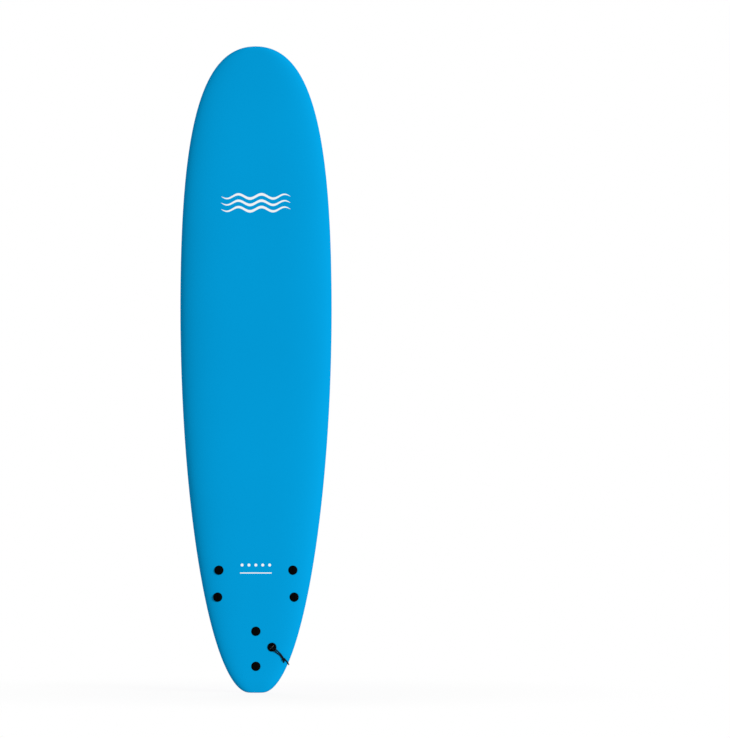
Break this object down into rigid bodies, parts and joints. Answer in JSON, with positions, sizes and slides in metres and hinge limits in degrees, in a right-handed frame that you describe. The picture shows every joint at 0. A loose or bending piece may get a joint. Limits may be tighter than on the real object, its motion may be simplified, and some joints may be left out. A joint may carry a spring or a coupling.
{
  "type": "surfboard",
  "caption": "Soft-top longboard with a rounded nose, foam deck, printed slick bottom, bolt-through fins and a leash string.",
  "frame": {"origin": "centre of the small flat face at the end of the tail", "axes": "+Z from the tail to the nose, -Y out of the deck, +Y out of the bottom on the fins' side, +X to the right of someone who looks at the deck"},
  "size_m": [0.572, 0.2491, 2.438],
  "materials": {
    "deck_foam": "closed-cell foam sheet, fine grain, blue",
    "bottom_print": "slick plastic sheet with a printed cyan to purple blend",
    "thin_foam": "closed-cell foam sheet",
    "blank_foam": "expanded polystyrene bead foam",
    "plywood": "plain plywood strip",
    "black_plastic": "moulded, satin gloss",
    "grey_plastic": "extruded tube",
    "steel": "plain stainless rod",
    "string_cord": "braided synthetic cord"
  },
  "bodies": {
    "board": {"deck_skin": "deck_foam", "slick_bottom_skin": "bottom_print", "bottom_foam_layer": "thin_foam", "core_left": "blank_foam", "core_centre": "blank_foam", "core_right": "blank_foam", "stringer_left": "plywood", "stringer_right": "plywood", "fin_left": "black_plastic", "fin_right": "black_plastic", "fin_centre": "black_plastic", "fin_bolt_left_front": "black_plastic", "fin_sleeve_left_front": "grey_plastic", "fin_bolt_left_rear": "black_plastic", "fin_sleeve_left_rear": "grey_plastic", "fin_bolt_right_front": "black_plastic", "fin_sleeve_right_front": "grey_plastic", "fin_bolt_right_rear": "black_plastic", "fin_sleeve_right_rear": "grey_plastic", "fin_bolt_centre_front": "black_plastic", "fin_sleeve_centre_front": "grey_plastic", "fin_bolt_centre_rear": "black_plastic", "fin_sleeve_centre_rear": "grey_plastic", "leash_cup": "black_plastic", "leash_bar": "steel"},
    "leash_string": {"leash_string_long": "string_cord", "leash_string_short": "string_cord", "leash_knot": "string_cord"}
  },
  "joints": [
    {"name": "leash_string_swing", "type": "hinge", "parent": "board", "child": "leash_string", "pos_m": [0.06076, -0.0049, 0.17196], "axis": [-0.7067, -0.0362, -0.7066], "range_deg": [0, 90]}
  ]
}
